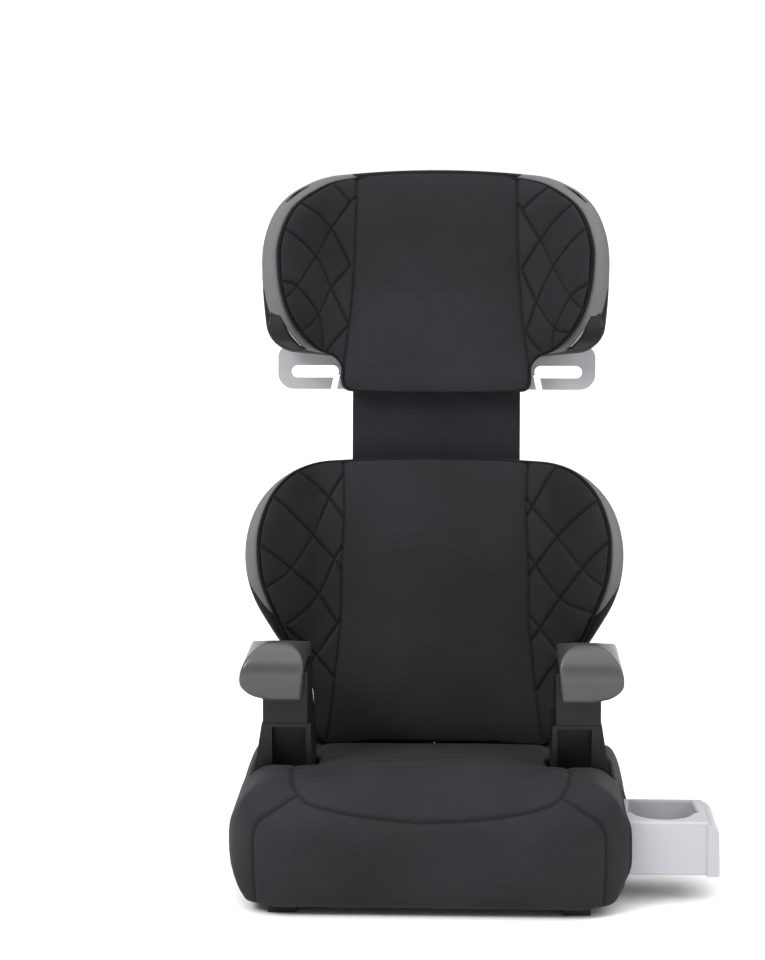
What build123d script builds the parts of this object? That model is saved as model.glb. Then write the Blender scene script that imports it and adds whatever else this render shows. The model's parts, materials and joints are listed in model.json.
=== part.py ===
"""High-back booster seat: base, sliding cup holder, hinged backrest, height-adjustable headrest.

+X is the child's left (cup holder side), +Y points to the back, +Z up. The origin is on the
floor, on the seat's plane of symmetry. Sizes are millimetres.
"""

import os
from math import cos, radians, sin

from build123d import *

os.makedirs("parts", exist_ok=True)

# ---- Driving dimensions -------------------------------------------------------------------

RECLINE = 7.0                 # lean of the back and head rests
WALL = 3.0                    # moulded walls
GAP = 0.3                     # clearance between soft and hard pieces
SKIRT_Z = 8.0                 # lower edge of the base shell above the floor

SHELL_HALF = 197.0            # base shell half width
PAD_THICK = 12.0              # seat cover over the shell
SEAT_FRONT, SEAT_REAR = -193.0, 116.0
SEAT_TOP_FRONT, SEAT_TOP_REAR = 126.0, 97.0
SHELF_REAR, SHELF_Z = 188.0, 52.0   # low rear shelf that holds the hinge
FOAM_THICK = 8.0

TOWER_IN, TOWER_OUT = 128.0, 180.0  # armrest tower across X, at its top
TOWER_Y0, TOWER_Y1 = -75.0, 5.0
TOWER_ROOT, TOWER_TOP = 100.0, 174.0

PIVOT_Y, PIVOT_Z = 168.0, 72.0      # backrest hinge axis
PIN_R, PIN_RUN = 4.0, 0.08
HOOK_X, HOOK_W = 118.0, 20.0        # hinge hooks: centre and width

CUP_Y0, CUP_Y1 = -141.0, -48.0      # cup holder drawer
CUP_Z0, CUP_Z1 = 32.0, 89.0
CUP_INNER_X, CUP_PLATE_X, CUP_OUTER_X = 152.0, 287.0, 300.0
CUP_R, CUP_X, CUP_Y = 32.0, 243.0, -98.0
CUP_RUN = 0.6                       # drawer to housing

BACK_Y, BACK_Z = 100.0, 110.0       # lower end of the backrest's front surface
BACK_HEIGHT = 323.0
BACK_FLAT, BACK_ARC, BACK_SWEEP, BACK_WING = 95.0, 60.0, 55.0, 64.0
HEAD_FLAT, HEAD_ARC, HEAD_SWEEP, HEAD_WING = 84.0, 60.0, 60.0, 64.0
COVER = 9.0                         # padded cover of the back and head rests
WRAP = 3.2                          # cover folded round the wings' outer faces
SHELL_BACK = 28.5                   # back face of both shells' rear wall, behind the cover's face
RIB_DEPTH = 12.0

NECK_HALF = 95.0                    # headrest neck plate
NECK_FRONT, NECK_THICK = 30.0, 5.0
NECK_LOW, NECK_HIGH = 120.0, 585.0
RAIL_RUN = 0.5
NOTCH_PITCH = 16.0
NOTCHES = 6
LEVER_D, LEVER_V = 57.0, 262.0      # release lever pivot, behind and along the back
LEVER_HALF = 19.0
LEVER_PIN_R = 2.5

# ---- Frames -------------------------------------------------------------------------------

LEAN_S, LEAN_C = sin(radians(RECLINE)), cos(radians(RECLINE))
BACK_ORIGIN = (0, BACK_Y, BACK_Z)
UP_BACK = (0, LEAN_S, LEAN_C)       # along the back, upwards
INTO_BACK = (0, LEAN_C, -LEAN_S)    # square to the back, rearwards

# front view of the back: x across, y up the back; extruding goes to the rear
FACE = Plane(origin=BACK_ORIGIN, x_dir=(-1, 0, 0), z_dir=INTO_BACK)
# section across the back: x across, y to the rear; extruding goes up the back
SECTION = Plane(origin=BACK_ORIGIN, x_dir=(1, 0, 0), z_dir=UP_BACK)
# side view of the back: x to the rear, y up the back; extruding goes to +X
SIDE = Plane(origin=BACK_ORIGIN, x_dir=INTO_BACK, z_dir=(1, 0, 0))


def behind(depth):
    """The front-view plane, moved to a depth behind the back's front surface."""
    return FACE.offset(depth)


def save(piece, name):
    piece.part.label = name
    export_step(piece.part, f"parts/{name}.step")


# ---- Base envelopes -----------------------------------------------------------------------


def base_body(grow):
    """The seat's block shape: plan, side and front outlines, each grown by the same amount."""
    with BuildPart() as body:
        with BuildSketch(Plane.XY.offset(-20)):
            with BuildLine():
                Line((0, SEAT_REAR), (SHELL_HALF - 14, SEAT_REAR))
                RadiusArc((SHELL_HALF - 14, SEAT_REAR), (SHELL_HALF, SEAT_REAR - 14), 14)
                Line((SHELL_HALF, SEAT_REAR - 14), (SHELL_HALF, SEAT_FRONT + 62))
                ThreePointArc(
                    (SHELL_HALF, SEAT_FRONT + 62),
                    (SHELL_HALF - 14, SEAT_FRONT + 24),
                    (SHELL_HALF - 50, SEAT_FRONT + 5),
                )
                ThreePointArc(
                    (SHELL_HALF - 50, SEAT_FRONT + 5),
                    (0, SEAT_FRONT),
                    (50 - SHELL_HALF, SEAT_FRONT + 5),
                )
                ThreePointArc(
                    (50 - SHELL_HALF, SEAT_FRONT + 5),
                    (14 - SHELL_HALF, SEAT_FRONT + 24),
                    (-SHELL_HALF, SEAT_FRONT + 62),
                )
                Line((-SHELL_HALF, SEAT_FRONT + 62), (-SHELL_HALF, SEAT_REAR - 14))
                RadiusArc((-SHELL_HALF, SEAT_REAR - 14), (14 - SHELL_HALF, SEAT_REAR), 14)
                Line((14 - SHELL_HALF, SEAT_REAR), (0, SEAT_REAR))
            make_face()
            if grow:
                offset(amount=grow)
        extrude(amount=200)
        with BuildSketch(Plane.YZ):
            with BuildLine():
                Line((SEAT_FRONT + 14, -20), (SEAT_FRONT + 12, SKIRT_Z))
                ThreePointArc(
                    (SEAT_FRONT + 12, SKIRT_Z), (SEAT_FRONT, 50), (SEAT_FRONT + 8, 92)
                )
                ThreePointArc(
                    (SEAT_FRONT + 8, 92), (SEAT_FRONT + 20, 107), (-150, SEAT_TOP_FRONT)
                )
                Line((-150, SEAT_TOP_FRONT), (SEAT_REAR - 10, SEAT_TOP_REAR))
                RadiusArc((SEAT_REAR - 10, SEAT_TOP_REAR), (SEAT_REAR, SEAT_TOP_REAR - 12), 12)
                Line((SEAT_REAR, SEAT_TOP_REAR - 12), (SEAT_REAR, -20))
                Line((SEAT_REAR, -20), (SEAT_FRONT + 14, -20))
            make_face()
            if grow:
                offset(amount=grow)
        extrude(amount=260, both=True, mode=Mode.INTERSECT)
        with BuildSketch(Plane.XZ):
            with BuildLine():
                Line((0, -20), (SHELL_HALF - 32, -20))
                Line((SHELL_HALF - 32, -20), (SHELL_HALF - 30, SKIRT_Z))
                ThreePointArc(
                    (SHELL_HALF - 30, SKIRT_Z), (SHELL_HALF - 10, 29), (SHELL_HALF, 58)
                )
                ThreePointArc(
                    (SHELL_HALF, 58), (SHELL_HALF - 1, 82), (SHELL_HALF - 9, 100)
                )
                ThreePointArc(
                    (SHELL_HALF - 9, 100), (SHELL_HALF - 17, 113), (SHELL_HALF - 32, 121)
                )
                Line((SHELL_HALF - 32, 121), (0, 130))
                mirror(about=Plane.YZ)
            make_face()
            if grow:
                offset(amount=grow)
        extrude(amount=260, both=True, mode=Mode.INTERSECT)
    return body.part


def front_path(flat, arc, sweep, wing, depth):
    """Points of the hollow front surface at a depth: flat middle, bend, straight wing."""
    turn = radians(sweep)
    bend_end = (flat + (arc + depth) * sin(turn), depth - (arc + depth) * (1 - cos(turn)))
    tip = (bend_end[0] + wing * cos(turn), bend_end[1] - wing * sin(turn))
    half_turn = turn / 2
    bend_mid = (flat + (arc + depth) * sin(half_turn), depth - (arc + depth) * (1 - cos(half_turn)))
    return (flat, depth), bend_mid, bend_end, tip


def hollow(flat, arc, sweep, wing, depth, low, high):
    """The space in front of the surface at a depth, where the child sits."""
    start, middle, end, tip = front_path(flat, arc, sweep, wing + 60, depth)
    with BuildPart() as space:
        with BuildSketch(SECTION.offset(low)):
            with BuildLine():
                Line((0, start[1]), start)
                ThreePointArc(start, middle, end)
                Line(end, tip)
                Line(tip, (0, tip[1]))
                mirror(about=Plane.YZ)
            make_face()
        extrude(amount=high - low)
    return space.part


# Outlines, each half from the top centre downwards. Front views are (across, up the back);
# side views are (behind the front surface, up the back), where the wings swell forwards.
BACK_HALF = [(0, 323), (120, 319), (200, 258), (207, 214), (190, 150), (166, 112), (141, 62),
             (124, 2)]
HEAD_HALF = [(0, 646), (110, 640), (181, 585), (190, 535), (187, 468), (160, 441), (118, 437),
             (107, 425), (107, 408), (96, 397), (0, 394)]
BACK_SWELL = [(-6, 335), (-26, 310), (-66, 275), (-78, 225), (-62, 160), (-34, 95), (-12, 45),
              (-3, -10)]
HEAD_SWELL = [(-4, 665), (-26, 636), (-70, 598), (-86, 545), (-78, 490), (-48, 446), (-12, 424),
              (-3, 412)]


def tub_section(half_back, half_wide, wide_depth, tip, rear, corner):
    """Section of a rest with wings: rear wall, round rear corners, wings bulging outwards."""
    with BuildSketch() as sketch:
        with BuildLine():
            Line((0, rear), (half_back, rear))
            ThreePointArc((half_back, rear), corner, (half_wide, wide_depth))
            ThreePointArc((half_wide, wide_depth), (half_wide - 2, (wide_depth + tip[1]) / 2), tip)
            Line(tip, (0, tip[1]))
            mirror(about=Plane.YZ)
        make_face()
    return sketch.sketch


def rest_body(outline, section, side, grow, low, high):
    """A back or head rest's block: section, front outline and side outline intersected."""
    with BuildPart() as body:
        with BuildSketch(SECTION.offset(low - 40)):
            add(section)
            if grow:
                offset(amount=grow)
        extrude(amount=high - low + 80)
        with BuildSketch(behind(-160)):
            add(outline)
            if grow:
                offset(amount=grow)
        extrude(amount=260, mode=Mode.INTERSECT)
        with BuildSketch(SIDE):
            add(side)
            if grow:
                offset(amount=grow)
        extrude(amount=260, both=True, mode=Mode.INTERSECT)
    return body.part


def arc_path(points, heading):
    """Round stretches through the points, each arc tangent to the one before."""
    for start, end in zip(points, points[1:]):
        arc = TangentArc(start, end, tangent=heading)
        heading = arc % 1


def front_outline(half):
    with BuildSketch() as sketch:
        with BuildLine():
            arc_path(half, (1, 0))
            if half[-1][0]:
                Line(half[-1], (0, half[-1][1]))
            mirror(about=Plane.YZ)
        make_face()
    return sketch.sketch


def side_outline(swell, low, rear=60):
    """Everything behind the wings' swollen front edge."""
    top = swell[0][1]
    with BuildSketch() as sketch:
        with BuildLine():
            arc_path(swell, (-0.3, -1))
            Polyline(swell[-1], (swell[-1][0], low), (rear, low), (rear, top), swell[0])
        make_face()
    return sketch.sketch


COVER_BACK = SHELL_BACK + WRAP + GAP
BACK_SECTION = tub_section(150, 207, -30, (192, -80), COVER_BACK, (194, 12))
HEAD_SECTION = tub_section(132, 190, -34, (176, -88), COVER_BACK, (176, 10))
BACK_OUTLINE, HEAD_OUTLINE = front_outline(BACK_HALF), front_outline(HEAD_HALF)
BACK_SIDE, HEAD_SIDE = side_outline(BACK_SWELL, -20), side_outline(HEAD_SWELL, 380)


def rest_space(flat, arc, sweep, wing, low, high):
    """A function of depth that gives the hollow in front of that depth."""
    return lambda depth: hollow(flat, arc, sweep, wing, depth, low, high)


back_hollow = rest_space(BACK_FLAT, BACK_ARC, BACK_SWEEP, BACK_WING, -60, 400)
head_hollow = rest_space(HEAD_FLAT, HEAD_ARC, HEAD_SWEEP, HEAD_WING, 330, 720)


def back_body(grow):
    return rest_body(BACK_OUTLINE, BACK_SECTION, BACK_SIDE, grow, 0, BACK_HEIGHT)


def head_body(grow):
    return rest_body(HEAD_OUTLINE, HEAD_SECTION, HEAD_SIDE, grow, HEAD_HALF[-1][1], HEAD_HALF[0][1])


def block(x0, x1, y0, y1, z0, z1):
    """A box between two corners, kept out of any open builder."""
    solid = Box(x1 - x0, y1 - y0, z1 - z0, mode=Mode.PRIVATE)
    return Pos((x0 + x1) / 2, (y0 + y1) / 2, (z0 + z1) / 2) * solid


def back_block(x0, x1, d0, d1, v0, v1):
    """A box in the back's own directions: across, behind the front surface, up the back."""
    return SECTION.location * block(x0, x1, d0, d1, v0, v1)


def both_sides(solid):
    return [solid, mirror(solid, about=Plane.YZ, mode=Mode.PRIVATE)]


def rear_hole(x, depth, v, radius, length):
    """A round hole square to the back, centred at a depth behind its front surface."""
    solid = Cylinder(radius, length, mode=Mode.PRIVATE)
    return SECTION.location * Location((x, depth, v), (-90, 0, 0)) * solid


# ---- Base ---------------------------------------------------------------------------------

shell_outside, shell_inside = base_body(0), base_body(-WALL)
RING_X, RING_Y0, RING_Y1 = 58.0, -150.0, 95.0
RIB = 2.5
SHELF_HALF = 150.0
FOOT_IN, FOOT_OUT, FOOT_LONG = 137.0, 178.0, 34.0
EAR_THICK, EAR_RUN, EAR_R = 5.0, 0.5, 13.0
HOOK_R = 11.0
SOCKET = (142.0, 166.0, -42.0, -8.0)   # armrest tongue hole: x0, x1, y0, y1
SOCKET_FLOOR = 138.0
SCREW_Z = 155.0
SCREW_R, SCREW_HEAD_R = 2.4, 4.5


def tower_sketch():
    """Front view of an armrest tower, wider at its foot."""
    with BuildSketch() as sketch:
        with BuildLine():
            Polyline(
                (TOWER_IN - 2, TOWER_ROOT), (TOWER_OUT + 9, TOWER_ROOT), (TOWER_OUT + 7, 130),
                (TOWER_OUT, TOWER_TOP), (TOWER_IN, TOWER_TOP), close=True,
            )
        make_face()
    return sketch.sketch


TOWER = tower_sketch()

RIB_SIDE, RIB_FRONT, RIB_LOW, RIB_HIGH = 192.0, -188.0, 14.0, 130.0
shell_room = base_body(-1)


def rib(x0, x1, y0, y1):
    """An upright rib, as tall as the room under the shell's top."""
    return block(x0, x1, y0, y1, RIB_LOW, RIB_HIGH)


with BuildPart() as base_ribs:
    add(block(-RING_X, RING_X, RING_Y0, RING_Y1, 0, RIB_HIGH))
    add(block(WALL - RING_X, RING_X - WALL, RING_Y0 + WALL, RING_Y1 - WALL, -1, RIB_HIGH + 1),
        mode=Mode.SUBTRACT)
    for rib_y in (-30, 30, 85):
        for piece in both_sides(rib(RING_X - RIB / 2, RIB_SIDE, rib_y - RIB / 2, rib_y + RIB / 2)):
            add(piece)
    for rib_x in (-50, 0, 50):
        add(rib(rib_x - RIB / 2, rib_x + RIB / 2, RIB_FRONT, RING_Y0 + WALL / 2))
    add(shell_inside, mode=Mode.INTERSECT)
save(base_ribs, "base_ribs")

with BuildPart() as base_shell:
    add(shell_outside)
    add(block(-SHELF_HALF, SHELF_HALF, SEAT_REAR - 20, SHELF_REAR, -20, SHELF_Z))
    fillet(base_shell.edges().filter_by(Axis.Z).group_by(Axis.Y)[-1], 12)
    add(shell_inside, mode=Mode.SUBTRACT)
    add(
        block(WALL - SHELF_HALF, SHELF_HALF - WALL, SEAT_REAR - 20, SHELF_REAR - WALL,
              -21, SHELF_Z - WALL),
        mode=Mode.SUBTRACT,
    )
    split(bisect_by=Plane.XY.offset(SKIRT_Z), keep=Keep.TOP)
    for y0 in (SEAT_FRONT + 12, SHELF_REAR - FOOT_LONG):
        out = FOOT_OUT if y0 < 0 else SHELF_HALF - 1
        foot = block(out - FOOT_OUT + FOOT_IN, out, y0, y0 + FOOT_LONG - 1, 0, 30)
        for piece in both_sides(foot & shell_room if y0 < 0 else foot):
            add(piece)
    # hinge ears on the rear shelf
    for centre in (-HOOK_X, HOOK_X):
        for edge in (-1, 1):
            ear_x = centre + edge * (HOOK_W / 2 + EAR_RUN + EAR_THICK / 2)
            with BuildSketch(Plane.YZ.offset(ear_x)):
                with Locations((PIVOT_Y, PIVOT_Z)):
                    Circle(EAR_R)
                with Locations((PIVOT_Y, (PIVOT_Z + SHELF_Z) / 2 - 2)):
                    Rectangle(2 * EAR_R, PIVOT_Z - SHELF_Z + 4)
            extrude(amount=EAR_THICK / 2, both=True)
    with Locations(Location((0, PIVOT_Y, PIVOT_Z), (0, 90, 0))):
        Cylinder(PIN_R, 300, mode=Mode.SUBTRACT)
    # doorway of the cup holder
    add(block(SHELL_HALF - 20, SHELL_HALF + 5, CUP_Y0 - 3.6, CUP_Y1 + 3.6, CUP_Z0 - 3.6, CUP_Z1 + 3.6),
        mode=Mode.SUBTRACT)
save(base_shell, "base_shell")

# Armrest towers stand on the shell's shoulders, with an open pocket in front and a socket on top.
with BuildPart() as tower_right:
    with BuildSketch(Plane.XZ.offset(-TOWER_Y1)):
        add(TOWER)
    extrude(amount=TOWER_Y1 - TOWER_Y0)
    add(shell_outside, mode=Mode.SUBTRACT)
    add(block(133, 169, TOWER_Y0 - 1, TOWER_Y0 + 22, 120, 170), mode=Mode.SUBTRACT)
    add(block(*SOCKET, SOCKET_FLOOR, TOWER_TOP + 1), mode=Mode.SUBTRACT)
    with Locations(Location((154, TOWER_Y1, SCREW_Z), (90, 0, 0))):
        Cylinder(SCREW_R, 40, mode=Mode.SUBTRACT)
with BuildPart() as tower_left:
    mirror(tower_right.part, about=Plane.YZ)
save(tower_right, "armrest_tower_right")
save(tower_left, "armrest_tower_left")

HOUSING_IN, HOUSING_OUT, HOUSING_WALL = 61.0, 188.0, 2.0
HOUSING_Y = (CUP_Y0 - CUP_RUN, CUP_Y1 + CUP_RUN)
HOUSING_Z = (CUP_Z0 - CUP_RUN, CUP_Z1 + CUP_RUN)

with BuildPart() as cup_holder_housing:
    add(block(HOUSING_IN, HOUSING_OUT, HOUSING_Y[0] - HOUSING_WALL, HOUSING_Y[1] + HOUSING_WALL,
              HOUSING_Z[0] - HOUSING_WALL, HOUSING_Z[1] + HOUSING_WALL))
    add(block(HOUSING_IN + HOUSING_WALL, HOUSING_OUT + 1, *HOUSING_Y, *HOUSING_Z), mode=Mode.SUBTRACT)
save(cup_holder_housing, "cup_holder_housing")

FOAM_BOX = (-146, 146, -138, 92, 80, 150)
foam_top, foam_bottom = base_body(FOAM_THICK), base_body(GAP)
with BuildPart() as seat_foam:
    add(foam_top)
    add(foam_bottom, mode=Mode.SUBTRACT)
    add(block(*FOAM_BOX), mode=Mode.INTERSECT)
    for tower in both_sides(block(TOWER_IN - 4, 200, TOWER_Y0 - 2, TOWER_Y1 + 2, 60, 180)):
        add(tower, mode=Mode.SUBTRACT)
save(seat_foam, "seat_foam")

HEM_Z, PAD_REAR = 10.0, 112.0
pad_outside = base_body(PAD_THICK)
foam_room = base_body(FOAM_THICK + GAP) & block(-146.3, 146.3, -138.3, 92.3, 80, 150)
with BuildPart() as seat_pad:
    add(pad_outside)
    add(foam_bottom, mode=Mode.SUBTRACT)
    add(foam_room, mode=Mode.SUBTRACT)
    split(bisect_by=Plane.XY.offset(HEM_Z), keep=Keep.TOP)
    split(bisect_by=Plane.XZ.offset(-PAD_REAR), keep=Keep.TOP)
    for tower in both_sides(block(TOWER_IN - 3, TOWER_OUT + 11, TOWER_Y0 - 1, TOWER_Y1 + 1, 60, 180)):
        add(tower, mode=Mode.SUBTRACT)
    add(block(SHELL_HALF - 22, SHELL_HALF + 30, CUP_Y0 - 8, CUP_Y1 + 8, CUP_Z0 - 8, CUP_Z1 + 11),
        mode=Mode.SUBTRACT)
save(seat_pad, "seat_pad")

with BuildPart() as hinge_pins:
    with Locations(*[Location((side * HOOK_X, PIVOT_Y, PIVOT_Z), (0, 90, 0)) for side in (1, -1)]):
        Cylinder(PIN_R, HOOK_W + 2 * (EAR_RUN + EAR_THICK) + 3)
save(hinge_pins, "hinge_pins")

# ---- Armrests -----------------------------------------------------------------------------

CAP_WALL = 2.5


def cap_body(grow):
    """Armrest cap: domed on the outer side, flat inside, rounded nose, falling to the rear."""
    with BuildPart() as cap:
        with BuildSketch(Plane.XZ.offset(110)):
            with BuildLine():
                Line((137, 202), (134, 238))
                ThreePointArc((134, 238), (140, 255), (157, 261))
                ThreePointArc((157, 261), (192, 250), (202, 226))
                Line((202, 226), (201.5, 219))
                ThreePointArc((201.5, 219), (194, 210.5), (182, 205.5))
                Line((182, 205.5), (168, 202))
                Line((168, 202), (137, 202))
            make_face()
            if grow:
                offset(amount=grow)
        extrude(amount=-170)
        with BuildSketch(Plane.YZ.offset(100)):
            with BuildLine():
                Line((-94, 202), (-99, 228))
                ThreePointArc((-99, 228), (-89, 253), (-62, 261))
                Line((-62, 261), (18, 243))
                ThreePointArc((18, 243), (38, 236), (46, 221))
                ThreePointArc((46, 221), (40, 216), (28, 214))
                Line((28, 214), (-60, 201))
                Line((-60, 201), (-94, 202))
            make_face()
            if grow:
                offset(amount=grow)
        extrude(amount=120, mode=Mode.INTERSECT)
    return cap.part


cap_outside, cap_inside, arm_core = cap_body(0), cap_body(-CAP_WALL), cap_body(-CAP_WALL - 0.2)
POST = block(131, 179, TOWER_Y0 + 1, TOWER_Y1 - 1, TOWER_TOP + 0.2, 230)

with BuildPart() as armrest_right:
    add(POST)
    add(arm_core)
    fillet(armrest_right.edges().filter_by(Axis.Z).group_by(Axis.Y)[0], 2)
    add(block(SOCKET[0] + GAP, SOCKET[1] - GAP, SOCKET[2] + GAP, SOCKET[3] - GAP,
              SOCKET_FLOOR + 2, TOWER_TOP + 2))
    with Locations(Location((154, SOCKET[3], SCREW_Z), (90, 0, 0))):
        Cylinder(SCREW_R, 30, mode=Mode.SUBTRACT)

with BuildPart() as armrest_cap_right:
    add(cap_outside)
    add(cap_inside, mode=Mode.SUBTRACT)
    add(block(131 - 0.2, 179 + 0.2, TOWER_Y0 + 0.8, TOWER_Y1 - 0.8, TOWER_TOP, 231), mode=Mode.SUBTRACT)

with BuildPart() as armrest_left:
    mirror(armrest_right.part, about=Plane.YZ)
with BuildPart() as armrest_cap_left:
    mirror(armrest_cap_right.part, about=Plane.YZ)
save(armrest_right, "armrest_right")
save(armrest_left, "armrest_left")
save(armrest_cap_right, "armrest_cap_right")
save(armrest_cap_left, "armrest_cap_left")


def screw(radius, length, head_radius, head):
    """A pan-head screw pointing down -Z from its head's underside at the origin."""
    with BuildPart() as body:
        Cylinder(radius, length, align=(Align.CENTER, Align.CENTER, Align.MAX))
        Cylinder(head_radius, head, align=(Align.CENTER, Align.CENTER, Align.MIN))
        fillet(body.edges().group_by(Axis.Z)[-1], head * 0.4)
        with Locations((0, 0, head)):
            Box(head_radius * 1.3, 0.8, 1.6, mode=Mode.SUBTRACT)
            Box(0.8, head_radius * 1.3, 1.6, mode=Mode.SUBTRACT)
    return body.part


arm_screw = screw(SCREW_R, 26, SCREW_HEAD_R, 3)
with BuildPart() as armrest_screws:
    for side in (1, -1):
        with Locations(Location((side * 154, TOWER_Y1, SCREW_Z), (-90, 0, 0))):
            add(arm_screw)
save(armrest_screws, "armrest_screws")

# ---- Cup holder ---------------------------------------------------------------------------

WELL_REAR_Y, WELL_REAR_HALF = CUP_Y1 - 8, 33.5   # the well widens forwards to its step,
WELL_STEP_Y, WELL_STEP_HALF = -103.0, 37.0       # and is round in front of it
WELL_DEEP, WELL_RIM, RIM_DEEP = 53.0, 1.5, 1.2
PLATE_PROUD = 1.0                                # end plate over the drawer's front and rear
PLATE_LOW, PLATE_TOP = CUP_Z0 - PLATE_PROUD, CUP_Z1 - 3

with BuildPart() as cup_holder:
    add(block(CUP_INNER_X, CUP_PLATE_X + 1, CUP_Y0, CUP_Y1, CUP_Z0, CUP_Z1))
    fillet(cup_holder.edges().filter_by(Axis.X), 3)
    with BuildSketch(Plane.XZ.offset(-CUP_Y1 - PLATE_PROUD)):
        with BuildLine():
            Polyline((CUP_PLATE_X, PLATE_TOP), (CUP_PLATE_X, PLATE_LOW), (CUP_OUTER_X - 3, PLATE_LOW))
            RadiusArc((CUP_OUTER_X - 3, PLATE_LOW), (CUP_OUTER_X, PLATE_LOW + 3), -3)
            Line((CUP_OUTER_X, PLATE_LOW + 3), (CUP_OUTER_X - 1, PLATE_TOP - 11))
            RadiusArc((CUP_OUTER_X - 1, PLATE_TOP - 11), (CUP_OUTER_X - 12, PLATE_TOP), -11)
            Line((CUP_OUTER_X - 12, PLATE_TOP), (CUP_PLATE_X, PLATE_TOP))
        make_face()
    extrude(amount=CUP_Y1 - CUP_Y0 + 2 * PLATE_PROUD)
    for rim, deep in ((WELL_RIM, RIM_DEEP), (0, WELL_DEEP)):
        with BuildSketch(Plane.XY.offset(CUP_Z1)) as well:
            with BuildLine():
                Polyline(
                    (CUP_X - WELL_REAR_HALF, WELL_REAR_Y), (CUP_X + WELL_REAR_HALF, WELL_REAR_Y),
                    (CUP_X + WELL_STEP_HALF, WELL_STEP_Y), (CUP_X - WELL_STEP_HALF, WELL_STEP_Y),
                    close=True,
                )
            make_face()
            fillet(well.vertices(), 3)
            with Locations((CUP_X, CUP_Y)):
                Circle(CUP_R)
            if rim:
                offset(amount=rim)
        extrude(amount=-deep, mode=Mode.SUBTRACT)
    # moulding hollow under the inner end
    add(block(CUP_INNER_X + RIB, CUP_X - WELL_STEP_HALF - RIB, CUP_Y0 + RIB, CUP_Y1 - RIB,
              CUP_Z0 - 1, CUP_Z1 - RIB),
        mode=Mode.SUBTRACT)
save(cup_holder, "cup_holder")

# ---- Backrest -----------------------------------------------------------------------------

RAIL_IN, RAIL_OUT = NECK_HALF + RAIL_RUN, NECK_HALF + 8.5
RAIL_DEPTH, RAIL_LIP = 44.0, 84.0
RAIL_LIP_DEPTHS = (NECK_FRONT + NECK_THICK + 0.6, 39.0)
RAIL_LOW, RAIL_HIGH = 14.0, 316.0
BRACKET_LOW, BRACKET_HIGH, BRACKET_THICK = 222.0, 292.0, 3.0
BRACKET_X = 99.5
EAR_IN, EAR_WIDE = LEVER_HALF + 0.6, 4.0
BRACKET_SCREWS = [(x, v) for x in (-BRACKET_X, BRACKET_X) for v in (232, 282)]
back_outside = back_body(-WRAP - GAP)

with BuildPart() as hook_shape:
    with BuildSketch(SIDE.offset(HOOK_X)):
        with BuildLine():
            Polyline(
                (27, 74), (39, 74), (52, 24), (80, -21), (64, -38), (40, -8), (27, 6), close=True
            )
        make_face()
    extrude(amount=HOOK_W / 2, both=True)
    with Locations(Location((HOOK_X, PIVOT_Y, PIVOT_Z), (0, 90, 0))):
        Cylinder(HOOK_R, HOOK_W)



def rear_rib(x0, x1, v0, v1):
    """A rib on a rest's rear wall, rooted in the wall."""
    return back_block(x0, x1, SHELL_BACK - 1.5, SHELL_BACK + RIB_DEPTH, v0, v1)


def upright_ribs(places, low, high):
    return [rear_rib(x - RIB / 2, x + RIB / 2, low, high) for x in places]


def cross_ribs(places, x0, x1):
    return [rear_rib(x0, x1, v - RIB / 2, v + RIB / 2) for v in places]


rear_ribs = upright_ribs((-145, -125, 125, 145), -20, 340)
for x0, x1 in ((-146, -100), (100, 146)):
    rear_ribs += cross_ribs((100, 145, 190, 235, 280), x0, x1)
with BuildPart() as rib_window:
    with BuildSketch(behind(20)):
        add(BACK_OUTLINE)
        offset(amount=-12)
    extrude(amount=40)

back_inside, back_front = back_body(-WRAP - GAP - WALL), back_hollow(COVER)
rail_drills = [rear_hole(x, RAIL_DEPTH, v, 2.0, 20) for x, v in BRACKET_SCREWS]
with BuildPart() as backrest_shell:
    add(back_outside)
    add(back_inside, mode=Mode.SUBTRACT)
    add(back_front, mode=Mode.SUBTRACT)
    for rib in rear_ribs:
        add(rib & rib_window.part)
    for rail in both_sides(back_block(RAIL_IN, RAIL_OUT, 27, RAIL_DEPTH, RAIL_LOW, RAIL_HIGH)):
        add(rail)
    for lip in both_sides(back_block(RAIL_LIP, RAIL_OUT, *RAIL_LIP_DEPTHS, RAIL_LOW, RAIL_HIGH)):
        add(lip)
    for hook in both_sides(hook_shape.part):
        add(hook)
    with Locations(Location((0, PIVOT_Y, PIVOT_Z), (0, 90, 0))):
        Cylinder(PIN_R + PIN_RUN, 300, mode=Mode.SUBTRACT)
    for drill in rail_drills:
        add(drill, mode=Mode.SUBTRACT)
save(backrest_shell, "backrest_shell")

liner_space, liner_front = back_body(-WRAP - GAP - WALL - GAP), back_hollow(COVER + GAP)
with BuildPart() as backrest_foam:
    add(liner_space)
    add(liner_front, mode=Mode.SUBTRACT)
save(backrest_foam, "backrest_foam")

WRAP_DEPTH = 6.0
back_cover, back_seat = back_body(0), back_hollow(0)
back_core = back_body(-WRAP) - back_hollow(COVER - GAP)
with BuildPart() as backrest_pad:
    add(back_cover)
    add(back_seat, mode=Mode.SUBTRACT)
    add(back_core, mode=Mode.SUBTRACT)
    add(back_block(-260, 260, WRAP_DEPTH + 4, 80, -40, 360), mode=Mode.SUBTRACT)
save(backrest_pad, "backrest_pad")

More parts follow.
